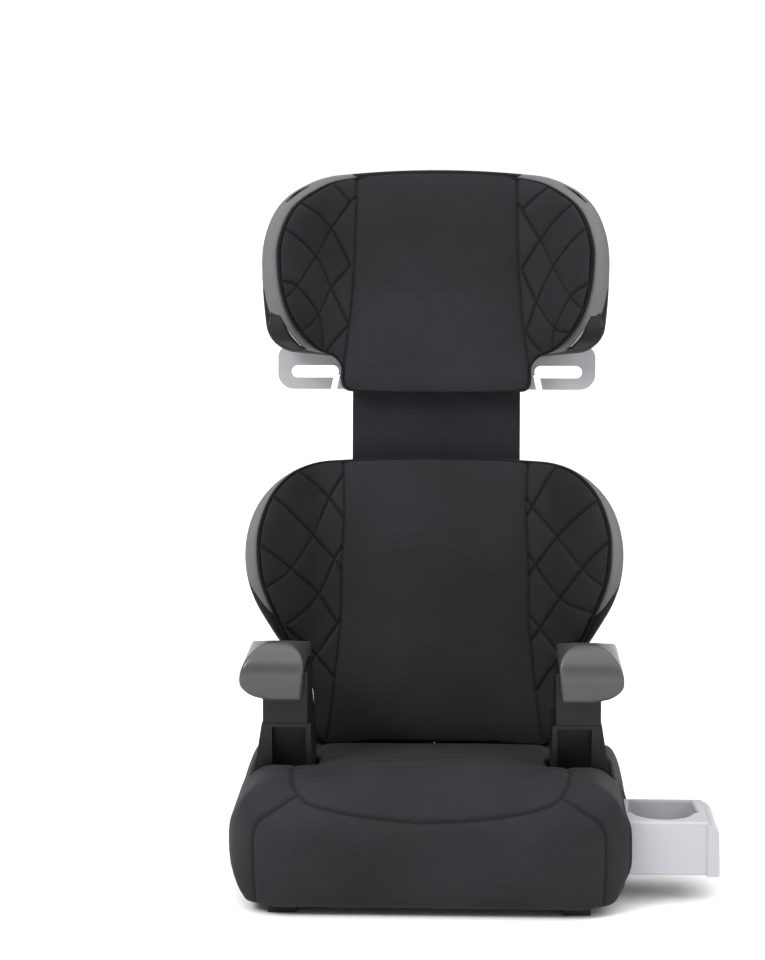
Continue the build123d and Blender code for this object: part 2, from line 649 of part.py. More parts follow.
with BuildPart() as adjuster_bracket:
    with BuildSketch(behind(RAIL_DEPTH)):
        with Locations((0, (BRACKET_LOW + BRACKET_HIGH) / 2)):
            RectangleRounded(216, BRACKET_HIGH - BRACKET_LOW, 8)
        with Locations((0, 241)):
            Rectangle(2 * LEVER_HALF + 4, 22, mode=Mode.SUBTRACT)
        with Locations(*BRACKET_SCREWS):
            Circle(2.1, mode=Mode.SUBTRACT)
    extrude(amount=BRACKET_THICK)
    for side in (-1, 1):
        with BuildSketch(SIDE.offset(side * (EAR_IN + EAR_WIDE / 2))):
            with Locations((LEVER_D, LEVER_V)):
                Circle(7)
            with Locations(((RAIL_DEPTH + 1 + LEVER_D) / 2, LEVER_V)):
                Rectangle(LEVER_D - RAIL_DEPTH - 1, 14)
        extrude(amount=EAR_WIDE / 2, both=True)
    with Locations(SECTION.location * Location((0, LEVER_D, LEVER_V), (0, 90, 0))):
        Cylinder(LEVER_PIN_R, 80, mode=Mode.SUBTRACT)
save(adjuster_bracket, "adjuster_bracket")

small_screw = screw(2.0, 9, 4.0, 2.4)


def rear_screws(places, depth):
    """Screws driven in from the rear, heads on the plane at this depth."""
    return [SECTION.location * Location((x, depth, v), (-90, 0, 0)) * small_screw for x, v in places]


with BuildPart() as bracket_screws:
    for piece in rear_screws(BRACKET_SCREWS, RAIL_DEPTH + BRACKET_THICK):
        add(piece)
save(bracket_screws, "bracket_screws")

with BuildPart() as lever_pin:
    with Locations(SECTION.location * Location((0, LEVER_D, LEVER_V), (0, 90, 0))):
        Cylinder(LEVER_PIN_R, 2 * (EAR_IN + EAR_WIDE) + 2)
save(lever_pin, "lever_pin")

with BuildPart() as lever_spring:
    with BuildSketch(SIDE):
        with BuildLine():
            Polyline(
                (47.1, 271), (47.1, 290.1), (52.3, 304.3), (53, 304), (47.9, 289.9), (47.9, 271),
                close=True,
            )
        make_face()
    extrude(amount=5, both=True)
save(lever_spring, "lever_spring")

# ---- Release lever ------------------------------------------------------------------------

TOOTH_TIP, CREST = 41.4, 41.0
with BuildPart() as release_lever:
    with BuildSketch(SIDE):
        with Locations((LEVER_D, LEVER_V)):
            Circle(6)
        with BuildLine():
            Polyline((LEVER_D - 3, LEVER_V), (LEVER_D + 3, LEVER_V), (62, 318), (67, 331), (61, 334),
                     (56, 320), close=True)
        make_face()
        with BuildLine():
            Polyline((LEVER_D - 3, LEVER_V), (LEVER_D + 3, LEVER_V), (LEVER_D + 2, 237), (46, 237),
                     (TOOTH_TIP, 238), (TOOTH_TIP, 244), (LEVER_D - 4, 246), close=True)
        make_face()
    extrude(amount=LEVER_HALF, both=True)
    with Locations(SECTION.location * Location((0, LEVER_D, LEVER_V), (0, 90, 0))):
        Cylinder(LEVER_PIN_R + PIN_RUN - 0.02, 80, mode=Mode.SUBTRACT)
save(release_lever, "release_lever")

# ---- Headrest -----------------------------------------------------------------------------

RACK_V = 241.0                       # where the lever's tooth meets the rack
NOTCH = 8.0
RACK_LOW = RACK_V - NOTCH_PITCH - 14
RACK_HIGH = RACK_V + (NOTCHES - 2) * NOTCH_PITCH + 14
HEAD_SCREWS = [(x, v) for x in (-66, 66) for v in (440, 560)]
GUIDE_SCREWS = [(108, 468), (126, 468)]
GUIDE_BACK = SHELL_BACK + 6.0
head_outside = head_body(-WRAP - GAP)

with BuildPart() as head_lip:
    with BuildSketch(behind(2)):
        add(HEAD_OUTLINE)
        with Locations((0, 500)):  # the lip is only what stands above the liner
            Rectangle(400, 279, mode=Mode.SUBTRACT)
        with Locations((0, 640)):
            Rectangle(180, 100, mode=Mode.INTERSECT)
    extrude(amount=SHELL_BACK - 2)

head_ribs = upright_ribs((-128, -112, 112, 128), 484, 640)
head_ribs += upright_ribs((-60, -20, 20, 60), 590, 640)
head_ribs += cross_ribs((488, 530, 572), -129, -100) + cross_ribs((488, 530, 572), 100, 129)
head_ribs += cross_ribs((600,), -129, 129)
with BuildPart() as head_rib_window:
    with BuildSketch(behind(20)):
        add(HEAD_OUTLINE)
        offset(amount=-11)
    extrude(amount=40)

head_inside, head_front = head_body(-WRAP - GAP - WALL), head_hollow(COVER)
all_head_screws = HEAD_SCREWS + GUIDE_SCREWS + [(-x, v) for x, v in GUIDE_SCREWS]
with BuildPart() as headrest_shell:
    add(head_outside)
    add(head_inside, mode=Mode.SUBTRACT)
    add(head_lip.part)
    add(head_front, mode=Mode.SUBTRACT)
    for rib in head_ribs:
        add(rib & head_rib_window.part)
    for x, v in all_head_screws:
        add(rear_hole(x, SHELL_BACK, v, 2.0, 8), mode=Mode.SUBTRACT)
save(headrest_shell, "headrest_shell")

head_liner_space, head_liner_front = head_body(-WRAP - GAP - WALL - GAP), head_hollow(COVER + GAP)
with BuildPart() as headrest_foam:
    add(head_liner_space)
    add(head_liner_front, mode=Mode.SUBTRACT)
    for x, v in all_head_screws:
        add(rear_hole(x, SHELL_BACK - 8, v, 3.0, 12), mode=Mode.SUBTRACT)
save(headrest_foam, "headrest_foam")

head_cover, head_seat = head_body(0), head_hollow(0)
head_core = head_body(-WRAP) - head_hollow(COVER - GAP)
with BuildPart() as headrest_pad:
    add(head_cover)
    add(head_seat, mode=Mode.SUBTRACT)
    add(head_core, mode=Mode.SUBTRACT)
    add(back_block(-260, 260, WRAP_DEPTH + 3, 80, 330, 700), mode=Mode.SUBTRACT)
    add(back_block(-91, 91, 1.5, 80, 634, 700), mode=Mode.SUBTRACT)
save(headrest_pad, "headrest_pad")

with BuildPart() as headrest_neck:
    with BuildSketch(behind(NECK_FRONT)):
        with Locations((0, (NECK_LOW + NECK_HIGH) / 2)):
            RectangleRounded(2 * NECK_HALF, NECK_HIGH - NECK_LOW, 10)
        with Locations(*HEAD_SCREWS):
            Circle(2.1, mode=Mode.SUBTRACT)
    extrude(amount=NECK_THICK)
    for x, v in HEAD_SCREWS:
        with Locations(SECTION.location * Location((x, (SHELL_BACK + NECK_FRONT + 1) / 2, v), (90, 0, 0))):
            Cylinder(7, NECK_FRONT + 1 - SHELL_BACK)
            Cylinder(2.1, 30, mode=Mode.SUBTRACT)
    for x in (-78, -45, 45, 78):
        add(back_block(x - RIB / 2, x + RIB / 2, NECK_FRONT + 2, 42.5, NECK_LOW + 12, NECK_HIGH - 12))
    for v in (NECK_LOW + 12, 345, 395, 500, NECK_HIGH - 12):
        add(back_block(-79, 79, NECK_FRONT + 2, 40.5, v - RIB / 2, v + RIB / 2))
    add(back_block(-15, 15, NECK_FRONT + 2, CREST, RACK_LOW, RACK_HIGH))
    for step in range(NOTCHES):
        notch_v = RACK_V + (step - 1) * NOTCH_PITCH
        add(back_block(-16, 16, CREST - 5, CREST + 2, notch_v - NOTCH / 2, notch_v + NOTCH / 2),
            mode=Mode.SUBTRACT)
save(headrest_neck, "headrest_neck")

with BuildPart() as neck_cover:
    add(back_block(-94.5, 94.5, SHELL_BACK + GAP, NECK_FRONT - 0.1, 250, 425))
save(neck_cover, "neck_cover")

with BuildPart() as neck_screws:
    for piece in rear_screws(HEAD_SCREWS, NECK_FRONT + NECK_THICK):
        add(piece)
save(neck_screws, "neck_screws")


def guide_sketch():
    """Belt guide: a plate with a long belt slot and a gap that lets the belt in from below."""
    with BuildSketch() as sketch:
        with BuildLine():
            Line((97, 400), (162, 400))
            RadiusArc((162, 400), (180, 418), -18)
            Line((180, 418), (180, 436))
            RadiusArc((180, 436), (166, 450), -14)
            Line((166, 450), (146, 452))
            Line((146, 452), (138, 482))
            Line((138, 482), (97, 482))
            Line((97, 482), (97, 400))
        make_face()
        with Locations((138, 420)):
            SlotOverall(54, 14, mode=Mode.SUBTRACT)
        with Locations((115, 408)):
            Rectangle(7, 18, rotation=12, mode=Mode.SUBTRACT)
        with Locations(*GUIDE_SCREWS):
            Circle(2.1, mode=Mode.SUBTRACT)
    return sketch.sketch


GUIDE = guide_sketch()
with BuildPart() as guide_one:
    with BuildSketch(behind(SHELL_BACK)):
        add(GUIDE)
    extrude(amount=GUIDE_BACK - SHELL_BACK)
guide_pair = both_sides(guide_one.part)
guide_pair.sort(key=lambda solid: solid.center().X)
for name, guide in zip(("belt_guide_left", "belt_guide_right"), guide_pair):
    with BuildPart() as belt_guide:
        add(guide)
    save(belt_guide, name)

with BuildPart() as belt_guide_screws:
    for piece in rear_screws(GUIDE_SCREWS + [(-x, v) for x, v in GUIDE_SCREWS], GUIDE_BACK):
        add(piece)
save(belt_guide_screws, "belt_guide_screws")
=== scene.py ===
"""High-back booster seat: fabric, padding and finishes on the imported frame.

The back and head rests are drawn in the back's own directions, in millimetres: x across,
d behind the cushions' front surface, v up the back. Everything else is in metres.
"""

import json
from math import atan2, cos, hypot, pi, radians, sin

import bmesh
import bpy
import numpy as np
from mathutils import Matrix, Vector, noise
from mathutils.bvhtree import BVHTree

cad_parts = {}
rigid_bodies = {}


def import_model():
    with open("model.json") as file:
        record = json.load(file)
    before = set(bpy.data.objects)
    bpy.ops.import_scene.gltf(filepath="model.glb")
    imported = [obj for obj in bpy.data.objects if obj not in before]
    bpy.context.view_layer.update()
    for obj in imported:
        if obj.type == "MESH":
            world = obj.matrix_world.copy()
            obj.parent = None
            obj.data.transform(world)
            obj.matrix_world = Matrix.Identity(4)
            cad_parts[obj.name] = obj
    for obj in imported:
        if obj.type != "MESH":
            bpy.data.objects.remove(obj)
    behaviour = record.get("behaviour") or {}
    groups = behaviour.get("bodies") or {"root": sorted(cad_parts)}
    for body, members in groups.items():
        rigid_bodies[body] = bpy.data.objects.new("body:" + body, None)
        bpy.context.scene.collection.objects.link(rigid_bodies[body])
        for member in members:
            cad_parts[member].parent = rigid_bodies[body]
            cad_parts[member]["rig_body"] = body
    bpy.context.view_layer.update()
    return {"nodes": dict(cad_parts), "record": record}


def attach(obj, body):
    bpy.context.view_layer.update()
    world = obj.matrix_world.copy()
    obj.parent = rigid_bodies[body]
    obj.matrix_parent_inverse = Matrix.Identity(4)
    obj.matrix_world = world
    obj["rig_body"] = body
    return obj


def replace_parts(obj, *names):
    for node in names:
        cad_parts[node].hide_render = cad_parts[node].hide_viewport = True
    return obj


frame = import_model()
NODES = frame["nodes"]
MM = 0.001

# ---- Frame of the back --------------------------------------------------------------------

LEAN = radians(7)
BACK_Y, BACK_Z = 100.0, 110.0


def place(x, d, v):
    """World metres of points given across, behind and up the back, in millimetres."""
    x, d, v = np.broadcast_arrays(x, d, v)
    y = BACK_Y + d * cos(LEAN) + v * sin(LEAN)
    z = BACK_Z - d * sin(LEAN) + v * cos(LEAN)
    return np.stack([x, y, z], axis=-1) * MM


# ---- Materials ----------------------------------------------------------------------------


class Shader:
    """A Principled material with object-space procedural detail."""

    def __init__(self, name, roughness, **sockets):
        self.material = bpy.data.materials.new(name)
        self.material.use_nodes = True
        self.nodes = self.material.node_tree.nodes
        self.links = self.material.node_tree.links
        self.bsdf = self.nodes["Principled BSDF"]
        self.bsdf.inputs["Roughness"].default_value = roughness
        for socket, value in sockets.items():
            self.bsdf.inputs[socket.replace("_", " ")].default_value = value
        self.coordinates = self.nodes.new("ShaderNodeTexCoord").outputs["Object"]
        self.height = None

    def texture(self, kind, scale, **settings):
        node = self.nodes.new(kind)
        for key, value in settings.items():
            if key in node.inputs:
                node.inputs[key].default_value = value
            else:
                setattr(node, key, value)
        node.inputs["Scale"].default_value = scale
        self.links.new(self.coordinates, node.inputs["Vector"])
        return node.outputs[0]

    def ramp(self, value, low, high):
        """The middle values of a texture, spread from one colour to another."""
        node = self.nodes.new("ShaderNodeValToRGB")
        for stop, position, tint in zip(node.color_ramp.elements, (0.3, 0.7), (low, high)):
            stop.position, stop.color = position, (*tint, 1)
        self.links.new(value, node.inputs[0])
        return node.outputs[0]

    def math(self, operation, first, second):
        node = self.nodes.new("ShaderNodeMath")
        node.operation = operation
        for socket, value in zip(node.inputs, (first, second)):
            if isinstance(value, (int, float)):
                socket.default_value = value
            else:
                self.links.new(value, socket)
        return node.outputs[0]

    def mix(self, factor, first, second):
        node = self.nodes.new("ShaderNodeMix")
        node.data_type = "RGBA"
        self.links.new(factor, node.inputs["Factor"])
        colors = [socket for socket in node.inputs if socket.type == "RGBA"]
        for socket, value in zip(colors, (first, second)):
            if isinstance(value, tuple):
                socket.default_value = (*value, 1)
            else:
                self.links.new(value, socket)
        return next(out for out in node.outputs if out.type == "RGBA")

    def attribute(self, name):
        node = self.nodes.new("ShaderNodeAttribute")
        node.attribute_name = name
        return node.outputs["Fac"]

    def color(self, value):
        self.links.new(value, self.bsdf.inputs["Base Color"])

    def roughness(self, value):
        self.links.new(value, self.bsdf.inputs["Roughness"])

    def bump(self, height, depth, strength):
        """Adds a layer of relief, its depth in metres, on top of the layers before it."""
        node = self.nodes.new("ShaderNodeBump")
        node.inputs["Distance"].default_value = depth
        node.inputs["Strength"].default_value = strength
        self.links.new(height, node.inputs["Height"])
        if self.height:
            self.links.new(self.height, node.inputs["Normal"])
        self.height = node.outputs[0]
        self.links.new(self.height, self.bsdf.inputs["Normal"])


def times(color, share):
    """A colour with its values scaled, up to 1."""
    return tuple(min(1, value * share) for value in color)


def knit(name, dark, light, sheen, grey=None, folds=1.2 * MM):
    """Fine warp knit: cell relief, slow tone changes, and painted shade darkening the sewn creases."""
    shader = Shader(name, 0.72, Sheen_Weight=sheen, Sheen_Roughness=0.4, Specular_IOR_Level=0.14)
    slow = shader.texture("ShaderNodeTexNoise", scale=9, Detail=3.0)
    yarn = shader.texture("ShaderNodeTexVoronoi", scale=900, Randomness=0.35)
    loops = shader.texture("ShaderNodeTexWave", scale=520, Distortion=1.5, bands_direction="Z")
    wrinkles = shader.texture("ShaderNodeTexNoise", scale=55, Detail=4.0)
    between_yarns = shader.math("MULTIPLY", yarn, 0.55)
    tone = shader.mix(between_yarns, shader.ramp(slow, dark, light), times(dark, 0.55))
    if grey:
        tone = shader.mix(shader.math("GREATER_THAN", shader.attribute("grey"), 0.0), tone, grey)
    # painted shade: the colour is darkened along sewn creases and seams, where shade falls
    shader.color(shader.mix(shader.attribute("painted_crease_shade"), tone, times(dark, 0.3)))
    shader.bump(wrinkles, depth=folds, strength=0.25)
    shader.bump(loops, depth=0.2 * MM, strength=0.25)
    shader.bump(yarn, depth=0.3 * MM, strength=0.35)
    return shader.material


def moulded(name, color, roughness, relief=0.12, variation=0.12, **sockets):
    """Moulded plastic: fine grain, faint tone and gloss variation."""
    shader = Shader(name, roughness, **sockets)
    slow = shader.texture("ShaderNodeTexNoise", scale=14, Detail=4.0)
    grain = shader.texture("ShaderNodeTexNoise", scale=1400, Detail=2.0)
    shader.color(shader.ramp(slow, times(color, 1 - variation), times(color, 1 + variation)))
    gloss = (roughness,) * 3
    shader.roughness(shader.ramp(slow, times(gloss, 0.9), times(gloss, 1.12)))
    shader.bump(grain, depth=0.2 * MM, strength=relief)
    return shader.material


def foam_material():
    shader = Shader("foam_cells", 0.9)
    cells = shader.texture("ShaderNodeTexVoronoi", scale=700)
    shader.color(shader.ramp(cells, (0.72, 0.71, 0.66), (0.85, 0.84, 0.8)))
    shader.bump(cells, depth=0.4 * MM, strength=0.5)
    return shader.material


def steel_material():
    shader = Shader("zinc_steel", 0.32, Metallic=1.0)
    streaks = shader.texture("ShaderNodeTexNoise", scale=260, Detail=5.0)
    shader.color(shader.ramp(streaks, (0.42, 0.42, 0.43), (0.62, 0.62, 0.63)))
    shader.bump(streaks, depth=0.1 * MM, strength=0.2)
    return shader.material


BLACK_KNIT = knit("charcoal_knit", (0.0125, 0.0122, 0.0145), (0.0205, 0.0200, 0.0235), sheen=0.04)
TRIM_KNIT = knit("border_knit", (0.009, 0.009, 0.0105), (0.013, 0.013, 0.015), sheen=0.03,
                 grey=(0.122, 0.120, 0.126))
SLEEVE_KNIT = knit("sleeve_knit", (0.0105, 0.0102, 0.0130), (0.0165, 0.0160, 0.0200), sheen=0.03,
                   folds=6 * MM)
PIPING = knit("piping_cord", (0.003, 0.003, 0.004), (0.005, 0.005, 0.006), sheen=0.02)
BLACK_PLASTIC = moulded("black_moulding", (0.0075, 0.0075, 0.008), 0.38, Specular_IOR_Level=0.25)
# armrest black plastic: really glossier, and with a lighter base colour that is painted light from
# above and in front
GLOSS_BLACK_PAINTED_LIGHT = moulded("armrest_gloss_painted_light", (0.045, 0.045, 0.046), 0.32, relief=0.05, Specular_IOR_Level=0.5)
PALE_PLASTIC = moulded("pale_moulding", (0.37, 0.375, 0.40), 0.38, relief=0.05, variation=0.02)
SILVER_PLASTIC = moulded("silver_moulding", (0.31, 0.31, 0.325), 0.36, relief=0.05, variation=0.03)
FOAM, STEEL = foam_material(), steel_material()
SLOT_MATERIAL = {
    "black_plastic": BLACK_PLASTIC,
    "gloss_black": GLOSS_BLACK_PAINTED_LIGHT,
    "pale_plastic": PALE_PLASTIC,
    "silver_plastic": SILVER_PLASTIC,
    "black_knit": BLACK_KNIT,
    "quilted_knit": BLACK_KNIT,
    "grey_knit": TRIM_KNIT,
    "foam": FOAM,
    "steel": STEEL,
}
NODE_SLOT = {part["node"]: part["material_slot"] for part in frame["record"]["subparts"]}


def finish_node(piece, slot):
    """Gives a piece its slot's material and no other."""
    piece.data.materials.clear()
    piece.data.materials.append(SLOT_MATERIAL[slot])


# ---- Mesh tools ---------------------------------------------------------------------------


def make_object(name, points, faces, material):
    mesh = bpy.data.meshes.new(name)
    mesh.from_pydata([tuple(p) for p in points], [], [tuple(f) for f in faces])
    mesh.update()
    mesh.polygons.foreach_set("use_smooth", [True] * len(mesh.polygons))
    piece = bpy.data.objects.new(name, mesh)
    bpy.context.scene.collection.objects.link(piece)
    mesh.materials.append(material)
    return piece


def grid_faces(columns, rows):
    """Four-sided faces of a grid whose points are listed column by column."""
    index = np.arange(columns * rows).reshape(columns, rows)
    faces = np.stack([index[:-1, :-1], index[1:, :-1], index[1:, 1:], index[:-1, 1:]], axis=-1)
    return faces.reshape(-1, 4)


def set_values(piece, name, values):
    attribute = piece.data.attributes.new(name, "FLOAT", "POINT")
    attribute.data.foreach_set("value", np.asarray(values, np.float32))


def coordinates(piece):
    points = np.zeros(len(piece.data.vertices) * 3, np.float32)
    piece.data.vertices.foreach_get("co", points)
    return points.reshape(-1, 3).astype(float)


def set_coordinates(piece, points):
    piece.data.vertices.foreach_set("co", np.asarray(points, np.float32).ravel())
    piece.data.update()


def normals(piece):
    values = np.zeros(len(piece.data.vertices) * 3, np.float32)
    piece.data.vertex_normals.foreach_get("vector", values)
    return values.reshape(-1, 3).astype(float)


def apply_modifiers(piece):
    graph = bpy.context.evaluated_depsgraph_get()
    mesh = bpy.data.meshes.new_from_object(piece.evaluated_get(graph))
    piece.modifiers.clear()
    piece.data = mesh


def thicken(piece, thickness):
    solid = piece.modifiers.new("thickness", "SOLIDIFY")
    solid.thickness = thickness
    solid.offset = -1
    apply_modifiers(piece)


def near_line(points, line, closed=False):
    """Distance from each point to a line of points, and the nearest point on it."""
    best, spot = np.full(len(points), 1e9), np.zeros(points.shape)
    ends = np.roll(line, -1, axis=0) if closed else line[1:]
    for start, end in zip(line, ends):
        run = end - start
        share = np.clip((points - start) @ run / max(run @ run, 1e-12), 0, 1)
        near = start + share[:, None] * run
        distance = np.linalg.norm(points - near, axis=1)
        closer = distance < best
        best[closer], spot[closer] = distance[closer], near[closer]
    return best, spot


def nearest_of(points, lines):
    """Distance from each point to the nearest of several lines."""
    return np.minimum.reduce([near_line(points, line)[0] for line in lines])


def inside(points, line):
    """Which points lie inside a closed flat line."""
    result = np.zeros(len(points), bool)
    for (x0, y0), (x1, y1) in zip(line, np.roll(line, -1, axis=0)):
        if y0 == y1:
            continue
        crosses = (y0 > points[:, 1]) != (y1 > points[:, 1])
        reach = x0 + (points[:, 1] - y0) * (x1 - x0) / (y1 - y0)
        result ^= crosses & (points[:, 0] < reach)
    return result


def curve_through(points, steps=10):
    """A smooth line through a few points (Catmull-Rom)."""
    p = np.array(points, float)
    p = np.vstack([2 * p[0] - p[1], p, 2 * p[-1] - p[-2]])
    line = []
    for a, b, c, d in zip(p, p[1:], p[2:], p[3:]):
        for t in np.arange(steps) / steps:
            line.append(
                0.5 * (2 * b + (c - a) * t + (2 * a - 5 * b + 4 * c - d) * t**2
                       + (3 * b - a - 3 * c + d) * t**3)
            )
    return np.array(line + [p[-2]])


def arc_chain(points, heading, steps=12):
    """Arcs through the points, each tangent to the one before, as the CAD outlines are."""
    line = [points[0]]
    for (x0, y0), (x1, y1) in zip(points, points[1:]):
        chord, along = hypot(x1 - x0, y1 - y0), atan2(y1 - y0, x1 - x0)
        turn = (along - heading + pi) % (2 * pi) - pi
        for k in range(1, steps + 1):
            part = turn * k / steps
            reach = chord * (sin(part) / sin(turn) if abs(turn) > 1e-6 else k / steps)
            line.append((x0 + reach * cos(heading + part), y0 + reach * sin(heading + part)))
        heading = along + turn
    return np.array(line)


def mirrored(half):
    """A closed outline from its right half, which starts and ends on the middle line."""
    return np.vstack([half, (half * (-1, 1))[::-1][1:-1]])


def evenly(line, step):
    """A closed line's points again, at an even spacing."""
    loop = np.vstack([line, line[:1]])
    run = np.concatenate([[0], np.cumsum(np.linalg.norm(np.diff(loop, axis=0), axis=1))])
    marks = np.linspace(0, run[-1], int(run[-1] / step), endpoint=False)
    return np.stack([np.interp(marks, run, loop[:, k]) for k in range(loop.shape[1])], axis=1)


def along(line, shares):
    """Points at the given shares of a line's length."""
    run = np.concatenate([[0], np.cumsum(np.linalg.norm(np.diff(line, axis=0), axis=1))])
    return np.stack([np.interp(shares * run[-1], run, line[:, k]) for k in range(2)], axis=1)


def share_near(line, spot):
    """How far along a line, as a share of its length, its nearest point to a spot is."""
    shares = np.linspace(0, 1, 2001)
    return shares[np.linalg.norm(along(line, shares) - spot, axis=1).argmin()]


def bell(distance, width):
    """1 on a line, falling smoothly to nothing beside it."""
    return np.exp(-((distance / width) ** 2))


def sewn(distance, puff, reach, depth, width):
    """Height beside a sewn line: pressed in along it, puffed up away from it."""
    return puff * (1 - np.exp(-distance / reach)) - depth * bell(distance, width)


def fade(distance, width):
    """From 0 at a region's edge to 1 where it is a width inside."""
    return np.clip(distance / width, 0, 1)


def cord(name, points, radius, material, body):
    """A closed round cord through the points."""
    curve = bpy.data.curves.new(name, "CURVE")
    curve.dimensions = "3D"
    curve.bevel_depth, curve.bevel_resolution = radius, 3
    spline = curve.splines.new("POLY")
    spline.points.add(len(points) - 1)
    spline.use_cyclic_u = True
    for target, point in zip(spline.points, points):
        target.co = (*point, 1)
    curve.materials.append(material)
    piece = bpy.data.objects.new(name, curve)
    bpy.context.scene.collection.objects.link(piece)
    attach(piece, body)


def soft_noise(points, size, seed):
    """Smooth random heights from -1 to 1, one for each point."""
    shift = Vector((seed * 17.3, seed * 5.1, seed * 9.7))
    return np.array([noise.noise(Vector(p) / size + shift) for p in points])


# ---- Back and head cushions ---------------------------------------------------------------

GRID_STEP = 1.4
EDGE_POINTS = 160
COVER_THICKNESS, BORDER_THICKNESS, PIPING_RADIUS = 3.2, 2.2, 1.7
NOSE_DEPTH, NOSE_POWER, NOSE_PUFF = 11.0, 0.8, 1.6
BORDER_REAR = 9.0
NO_GREY = -1.0


class Rest:
    """One padded rest: the bent front surface that its cover lies on, and its outlines.

    The surface is flat up to a distance from the middle, then turns forwards on an arc by
    the sweep, in degrees, and goes on straight.
    """

    def __init__(self, name, body, flat, arc, sweep, edge, outline, pairs, section):
        self.name, self.body = name, body
        self.flat, self.arc, self.sweep = flat, arc, radians(sweep)
        self.bend_end = flat + arc * sin(self.sweep)
        edge, outline = curve_through(edge), arc_chain(outline, 0.0)
        matched = [(share_near(edge, a), share_near(outline, b)) for a, b in pairs]
        shares = np.linspace(0, 1, EDGE_POINTS)
        outer = np.interp(shares, *zip((0, 0), *matched, (1, 1)))
        self.edge = mirrored(along(edge, shares))
        self.outline = mirrored(along(outline, outer))
        self.section = arc_chain(*section)

    def surface(self, s, v, lift=0.0):
        """World points at a run across the cover and a height, lifted off it by some mm."""
        run, side = np.abs(s), np.sign(s)
        turn = np.clip((run - self.flat) / self.arc, 0, self.sweep)
        straight = np.clip(run - self.flat - self.arc * self.sweep, 0, None)
        x = np.minimum(run, self.flat) + self.arc * np.sin(turn) + straight * np.cos(turn)
        d = -(self.arc * (1 - np.cos(turn)) + straight * np.sin(turn))
        return place(side * (x - lift * np.sin(turn)), d - lift * np.cos(turn), v)

    def run_at(self, x):
        """The run across the cover at a distance from the middle."""
        wide = np.abs(x)
        bend = np.clip((wide - self.flat) / self.arc, 0, sin(self.sweep))
        straight = np.clip(wide - self.bend_end, 0, None) / cos(self.sweep)
        return np.sign(x) * (np.minimum(wide, self.flat) + self.arc * np.arcsin(bend) + straight)

    def depth_at(self, x):
        turn = np.arcsin(np.clip((np.abs(x) - self.flat) / self.arc, 0, sin(self.sweep)))
        straight = np.clip(np.abs(x) - self.bend_end, 0, None) / cos(self.sweep)
        return -(self.arc * (1 - np.cos(turn)) + straight * sin(self.sweep))

    def unroll(self, line):
        line = np.array(line, float)
        return np.stack([self.run_at(line[:, 0]), line[:, 1]], axis=1)


def grid_within(edge, step):
    """Points and faces of a flat grid cut to a closed edge, and the points' distance to it."""
    low, high = edge.min(0) - step, edge.max(0) + step
    across = np.arange(low[0], high[0] + step, step)
    up = np.arange(low[1], high[1] + step, step)
    grid = np.stack(np.meshgrid(across, up, indexing="ij"), axis=-1)
    points, corners = grid.reshape(-1, 2), grid_faces(*grid.shape[:2])
    kept = inside(points[corners].mean(axis=1), edge)
    dropped = np.zeros(len(points), bool)
    dropped[corners[~kept].ravel()] = True
    faces = corners[kept]
    used = np.unique(faces)
    to_edge, on_edge = near_line(points, edge, closed=True)
    rim = np.intersect1d(used, np.where(dropped)[0])
    points[rim], to_edge[rim] = on_edge[rim], 0
    renumber = np.full(len(points), -1)
    renumber[used] = np.arange(len(used))
    return points[used], renumber[faces], to_edge[used]


def front_cover(rest, seam, channels):
    """The sewn front: smooth middle, quilted wings, puffed between its seams."""
    points, faces, to_edge = grid_within(rest.unroll(rest.edge), GRID_STEP)
    seams = [rest.unroll(curve_through(seam) * (side, 1)) for side in (-1, 1)]
    to_seam = nearest_of(points, seams)
    to_channel = nearest_of(points, [rest.unroll(curve_through(line)) for line in channels])
    seam_x, seam_v = np.array(seam[::-1]).T
    in_wing = np.abs(points[:, 0]) > rest.run_at(np.interp(points[:, 1], seam_v, seam_x))

    edge_puff, edge_reach, middle_share, middle_lift = 5.5, 11, 0.9, 1.2
    lift = edge_puff * (1 - np.exp(-to_edge / edge_reach)) * np.where(in_wing, 1.0, middle_share)
    lift += sewn(to_seam, puff=2.2, reach=8, depth=1.4, width=1.5)
    quilted = sewn(to_channel, puff=1.8, reach=4, depth=1.7, width=1.2)
    lift += np.where(in_wing, quilted, middle_lift)
    flat_points = np.column_stack([points, np.zeros(len(points))])
    lift += 0.5 * soft_noise(flat_points, size=45.0, seed=1.0)
    lift += 0.25 * soft_noise(flat_points, size=16.0, seed=2.0)
    world = rest.surface(points[:, 0], points[:, 1], lift)
    piece = make_object(f"{rest.name}_cover", world, faces, BLACK_KNIT)
    if normals(piece)[:, 1].mean() > 0:
        piece.data.flip_normals()
    # painted shade in the wings' quilting channels and along the seams
    channel_painted_shade = np.where(in_wing, bell(to_channel, 1.4), 0)
    set_values(piece, "painted_crease_shade", np.maximum(channel_painted_shade, bell(to_seam, 1.2) * 0.9))
    set_values(piece, "grey", np.full(len(points), NO_GREY))
    thicken(piece, COVER_THICKNESS * MM)
    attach(piece, rest.body)
    return piece


